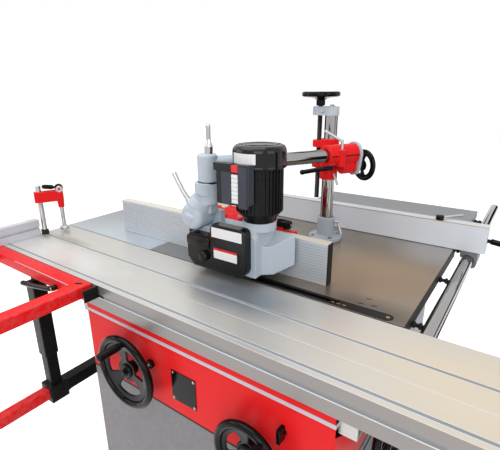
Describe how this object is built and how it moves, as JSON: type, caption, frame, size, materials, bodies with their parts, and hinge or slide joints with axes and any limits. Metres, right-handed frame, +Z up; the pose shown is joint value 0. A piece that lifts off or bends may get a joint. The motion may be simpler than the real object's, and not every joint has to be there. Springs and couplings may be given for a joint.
{
  "type": "combination saw and spindle moulder",
  "caption": "Floor-standing combination saw and spindle moulder with a sliding table, outrigger, spindle fence, rip fence and roller power feeder.",
  "frame": {"origin": "on the floor under the middle of the cabinet", "axes": "+X along the sliding table to its infeed end, +Y from the sliding table to the rip fence, +Z up"},
  "size_m": [2.016, 2.5145, 1.439],
  "materials": {
    "cabinet_grey": "satin",
    "cabinet_red": "gloss",
    "ground_iron": "satin",
    "sheet_grey": "satin",
    "anodised": "satin",
    "steel": "brushed",
    "chrome": "gloss",
    "cast_grey": "satin",
    "cast_red": "gloss",
    "tube_red": "gloss",
    "black_plastic": "gloss",
    "black_satin": "satin",
    "black_metal": "satin",
    "motor_black": "gloss",
    "slate": "satin",
    "roller": "matte",
    "cast_alloy": "satin",
    "motor_iron": "satin"
  },
  "bodies": {
    "machine": {"cabinet_base": "cabinet_grey", "cabinet_shell": "cabinet_red", "main_table": "ground_iron", "outfeed_table": "sheet_grey", "rear_table": "sheet_grey", "saw_insert": "black_metal", "slide_beam": "anodised", "rip_rail": "chrome", "feeder_base": "cast_grey"},
    "sliding_table": {"sliding_table": "anodised", "outrigger_frame": "tube_red"},
    "saw_motor": {"saw_motor": "motor_iron", "riving_knife": "steel"},
    "saw_arbor": {"saw_arbor": "steel", "saw_blade": "steel"},
    "spindle_quill": {"spindle_quill": "cast_grey", "spindle_motor": "motor_iron"},
    "feeder_gearbox": {"feeder_gearbox": "cast_alloy", "feeder_cover": "black_satin", "feeder_motor": "motor_black", "switch_box": "slate"},
    "saw_trunnion": {"saw_trunnion": "steel"},
    "spindle_shaft": {"spindle_shaft": "steel"},
    "spindle_rise_wheel": {"spindle_rise_wheel": "black_plastic"},
    "spindle_rise_handle": {"spindle_rise_handle": "black_plastic"},
    "rise_lock_knob": {"rise_lock_knob": "black_plastic"},
    "saw_rise_wheel": {"saw_rise_wheel": "black_plastic"},
    "saw_tilt_wheel": {"saw_tilt_wheel": "black_plastic"},
    "main_switch": {"main_switch": "black_plastic"},
    "outrigger_lever": {"outrigger_lever": "black_plastic"},
    "swing_arm": {"swing_arm": "black_metal"},
    "swing_extension": {"swing_extension": "tube_red"},
    "support_post": {"support_post": "black_metal"},
    "crosscut_fence": {"crosscut_fence": "anodised"},
    "clamp_post": {"clamp_post": "chrome"},
    "clamp_arm": {"clamp_arm": "cast_red"},
    "clamp_plunger": {"clamp_plunger": "chrome"},
    "clamp_cam_lever": {"clamp_cam_lever": "black_plastic"},
    "fence_hood": {"fence_hood": "tube_red"},
    "fence_plate_left": {"fence_plate_left": "anodised"},
    "fence_plate_right": {"fence_plate_right": "anodised"},
    "fence_knob": {"fence_knob": "black_plastic"},
    "rip_fence_head": {"rip_fence_head": "cast_grey"},
    "rip_fence_bar": {"rip_fence_bar": "anodised"},
    "rip_clamp_lever": {"rip_clamp_lever": "black_plastic"},
    "rip_top_lever": {"rip_top_lever": "steel"},
    "base_lever": {"base_lever": "chrome"},
    "feeder_column": {"feeder_column": "chrome"},
    "feeder_height_wheel": {"feeder_height_wheel": "black_plastic"},
    "feeder_crosshead": {"feeder_crosshead": "cast_red"},
    "crosshead_top_lever": {"crosshead_top_lever": "chrome"},
    "crosshead_low_lever": {"crosshead_low_lever": "black_plastic"},
    "feeder_arm": {"feeder_arm": "chrome"},
    "feeder_arm_wheel": {"feeder_arm_wheel": "black_plastic"},
    "feeder_elbow": {"feeder_elbow": "cast_grey"},
    "feeder_swivel": {"feeder_swivel": "cast_grey"},
    "swivel_lever": {"swivel_lever": "chrome"},
    "feeder_roller_1": {"feeder_roller_1": "roller"},
    "feeder_roller_2": {"feeder_roller_2": "roller"},
    "feeder_roller_3": {"feeder_roller_3": "roller"}
  },
  "joints": [
    {"name": "table_slide", "type": "slide", "parent": "machine", "child": "sliding_table", "axis": [1, 0, 0], "range_m": [-0.6, 0.6]},
    {"name": "outrigger_lever_turn", "type": "hinge", "parent": "sliding_table", "child": "outrigger_lever", "pos_m": [-0.52, -0.4938, 0.82], "axis": [0, -1, 0], "range_deg": [0, 60]},
    {"name": "crosscut_fence_turn", "type": "hinge", "parent": "sliding_table", "child": "crosscut_fence", "pos_m": [-0.99967, -0.419, 0.85], "axis": [0, 0, 1], "range_deg": [-45, 0]},
    {"name": "clamp_post_turn", "type": "hinge", "parent": "sliding_table", "child": "clamp_post", "pos_m": [-0.99, -0.263, 0.85], "axis": [0, 0, 1], "range_deg": [-33, 27]},
    {"name": "clamp_arm_height", "type": "slide", "parent": "clamp_post", "child": "clamp_arm", "axis": [0, 0, 1], "range_m": [-0.002, 0.02]},
    {"name": "clamp_cam_turn", "type": "hinge", "parent": "clamp_arm", "child": "clamp_cam_lever", "pos_m": [-0.95368, -0.19172, 1.04467], "axis": [-0.891, 0.454, 0], "range_deg": [0, 90]},
    {"name": "clamp_plunger_press", "type": "slide", "parent": "clamp_arm", "child": "clamp_plunger", "axis": [0, 0, 1], "range_m": [-0.0042, 0]},
    {"name": "swing_arm_turn", "type": "hinge", "parent": "machine", "child": "swing_arm", "pos_m": [-0.712, -0.08, 0.3], "axis": [0, 0, 1], "range_deg": [-12, 12]},
    {"name": "swing_extension_draw", "type": "slide", "parent": "swing_arm", "child": "swing_extension", "axis": [0, -1, 0], "range_m": [0, 0.15]},
    {"name": "support_post_height", "type": "slide", "parent": "swing_arm", "child": "support_post", "axis": [0, 0, 1], "range_m": [-0.08, 0]},
    {"name": "saw_tilt", "type": "hinge", "parent": "machine", "child": "saw_trunnion", "pos_m": [0.15, -0.105, 0.85], "axis": [-1, 0, 0], "range_deg": [0, 45]},
    {"name": "saw_rise", "type": "slide", "parent": "saw_trunnion", "child": "saw_motor", "axis": [0, 0, 1], "range_m": [0, 0.03]},
    {"name": "saw_spin", "type": "hinge", "parent": "saw_motor", "child": "saw_arbor", "pos_m": [0.15, -0.105, 0.685], "axis": [0, -1, 0], "continuous": true},
    {"name": "spindle_rise", "type": "slide", "parent": "machine", "child": "spindle_quill", "axis": [0, 0, 1], "range_m": [0, 0.1]},
    {"name": "spindle_spin", "type": "hinge", "parent": "spindle_quill", "child": "spindle_shaft", "pos_m": [-0.246, 0.015, 0.64], "axis": [0, 0, 1], "continuous": true},
    {"name": "spindle_rise_wheel_turn", "type": "hinge", "parent": "machine", "child": "spindle_rise_wheel", "pos_m": [-0.215, -0.477, 0.605], "axis": [0, -1, 0], "range_deg": [-5, 590]},
    {"name": "spindle_rise_handle_spin", "type": "hinge", "parent": "spindle_rise_wheel", "child": "spindle_rise_handle", "pos_m": [-0.19927, -0.4893, 0.7169], "axis": [0, -1, 0], "continuous": true},
    {"name": "rise_lock_turn", "type": "hinge", "parent": "machine", "child": "rise_lock_knob", "pos_m": [-0.148, -0.425, 0.635], "axis": [0, -1, 0], "range_deg": [0, 180]},
    {"name": "saw_rise_wheel_turn", "type": "hinge", "parent": "machine", "child": "saw_rise_wheel", "pos_m": [0.25, -0.477, 0.56], "axis": [0, -1, 0], "range_deg": [-5, 265]},
    {"name": "saw_tilt_wheel_turn", "type": "hinge", "parent": "machine", "child": "saw_tilt_wheel", "pos_m": [0.517, -0.18, 0.56], "axis": [1, 0, 0], "range_deg": [-5, 365]},
    {"name": "main_switch_turn", "type": "hinge", "parent": "machine", "child": "main_switch", "pos_m": [0.33, -0.425, 0.64], "axis": [0, -1, 0], "range_deg": [0, 90]},
    {"name": "fence_hood_depth", "type": "slide", "parent": "machine", "child": "fence_hood", "axis": [0, 1, 0], "range_m": [0, 0.06]},
    {"name": "fence_plate_left_slide", "type": "slide", "parent": "fence_hood", "child": "fence_plate_left", "axis": [1, 0, 0], "range_m": [-0.06, 0.04]},
    {"name": "fence_plate_right_slide", "type": "slide", "parent": "fence_hood", "child": "fence_plate_right", "axis": [1, 0, 0], "range_m": [-0.04, 0.06]},
    {"name": "fence_knob_turn", "type": "hinge", "parent": "fence_hood", "child": "fence_knob", "pos_m": [0.0623, 0.0183, 1.012], "axis": [1, 0, 0], "range_deg": [0, 180]},
    {"name": "rip_fence_position", "type": "slide", "parent": "machine", "child": "rip_fence_head", "axis": [0, 1, 0], "range_m": [-0.09, 0.55]},
    {"name": "rip_bar_slide", "type": "slide", "parent": "rip_fence_head", "child": "rip_fence_bar", "axis": [1, 0, 0], "range_m": [0, 0.3]},
    {"name": "rip_clamp_turn", "type": "hinge", "parent": "rip_fence_bar", "child": "rip_clamp_lever", "pos_m": [0.6233, 0.568, 0.8998], "axis": [1, 0, 0], "range_deg": [-60, 0]},
    {"name": "rip_top_lever_turn", "type": "hinge", "parent": "rip_fence_bar", "child": "rip_top_lever", "pos_m": [0.45, 0.558, 0.9571], "axis": [0, 0, 1], "range_deg": [-20, 20]},
    {"name": "base_lever_turn", "type": "hinge", "parent": "machine", "child": "base_lever", "pos_m": [0.0839, 0.3805, 0.93], "axis": [1, 0, 0], "range_deg": [-20, 20]},
    {"name": "column_swivel", "type": "hinge", "parent": "machine", "child": "feeder_column", "pos_m": [0.0476, 0.3805, 0.87], "axis": [0, 0, 1], "range_deg": [-1.5, 2.5]},
    {"name": "height_wheel_turn", "type": "hinge", "parent": "feeder_column", "child": "feeder_height_wheel", "pos_m": [-0.0004, 0.3805, 1.429], "axis": [0, 0, 1], "range_deg": [-20, 730]},
    {"name": "feeder_height", "type": "slide", "parent": "feeder_column", "child": "feeder_crosshead", "axis": [0, 0, 1], "range_m": [-0.002, 0.08]},
    {"name": "crosshead_top_lever_turn", "type": "hinge", "parent": "feeder_crosshead", "child": "crosshead_top_lever", "pos_m": [0.13021, 0.30551, 1.2353], "axis": [0, 0, 1], "range_deg": [-30, 60]},
    {"name": "crosshead_low_lever_turn", "type": "hinge", "parent": "feeder_crosshead", "child": "crosshead_low_lever", "pos_m": [0.06578, 0.35024, 1.158], "axis": [0.515, -0.8572, 0], "range_deg": [0, 60]},
    {"name": "feeder_arm_extend", "type": "slide", "parent": "feeder_crosshead", "child": "feeder_arm", "axis": [-0.4648, -0.8854, 0], "range_m": [0, 0.08]},
    {"name": "arm_wheel_turn", "type": "hinge", "parent": "feeder_crosshead", "child": "feeder_arm_wheel", "pos_m": [0.16527, 0.44974, 1.161], "axis": [0.4648, 0.8854, 0], "range_deg": [-5, 470]},
    {"name": "elbow_roll", "type": "hinge", "parent": "feeder_arm", "child": "feeder_elbow", "pos_m": [-0.1412, -0.134, 1.211], "axis": [-0.4648, -0.8854, 0], "range_deg": [0, 20]},
    {"name": "swivel_yaw", "type": "hinge", "parent": "feeder_elbow", "child": "feeder_swivel", "pos_m": [-0.1412, -0.134, 1.161], "axis": [0, 0, 1], "range_deg": [-15, 1]},
    {"name": "swivel_lever_turn", "type": "hinge", "parent": "feeder_swivel", "child": "swivel_lever", "pos_m": [-0.19198, -0.17, 1.09072], "axis": [-0.2588, 0, 0.9659], "range_deg": [0, 60]},
    {"name": "gearbox_tilt", "type": "hinge", "parent": "feeder_swivel", "child": "feeder_gearbox", "pos_m": [-0.18, -0.1117, 1.046], "axis": [0, -1, 0], "range_deg": [0, 4]},
    {"name": "feeder_roller_1_spin", "type": "hinge", "parent": "feeder_gearbox", "child": "feeder_roller_1", "pos_m": [-0.132, -0.109, 0.892], "axis": [0, 1, 0], "continuous": true},
    {"name": "feeder_roller_2_spin", "type": "hinge", "parent": "feeder_gearbox", "child": "feeder_roller_2", "pos_m": [-0.058, -0.109, 0.892], "axis": [0, 1, 0], "continuous": true},
    {"name": "feeder_roller_3_spin", "type": "hinge", "parent": "feeder_gearbox", "child": "feeder_roller_3", "pos_m": [0.016, -0.109, 0.892], "axis": [0, 1, 0], "continuous": true}
  ],
  "couplings": [
    {"joint": "clamp_cam_turn", "follows": "clamp_plunger_press", "rad_per_m": -370},
    {"joint": "spindle_rise_wheel_turn", "follows": "spindle_rise", "rad_per_m": 100},
    {"joint": "saw_rise_wheel_turn", "follows": "saw_rise", "rad_per_m": 150},
    {"joint": "saw_tilt_wheel_turn", "follows": "saw_tilt", "ratio": 8},
    {"joint": "height_wheel_turn", "follows": "feeder_height", "rad_per_m": 157},
    {"joint": "arm_wheel_turn", "follows": "feeder_arm_extend", "rad_per_m": 100},
    {"joint": "feeder_roller_2_spin", "follows": "feeder_roller_1_spin", "ratio": 1},
    {"joint": "feeder_roller_3_spin", "follows": "feeder_roller_1_spin", "ratio": 1}
  ]
}
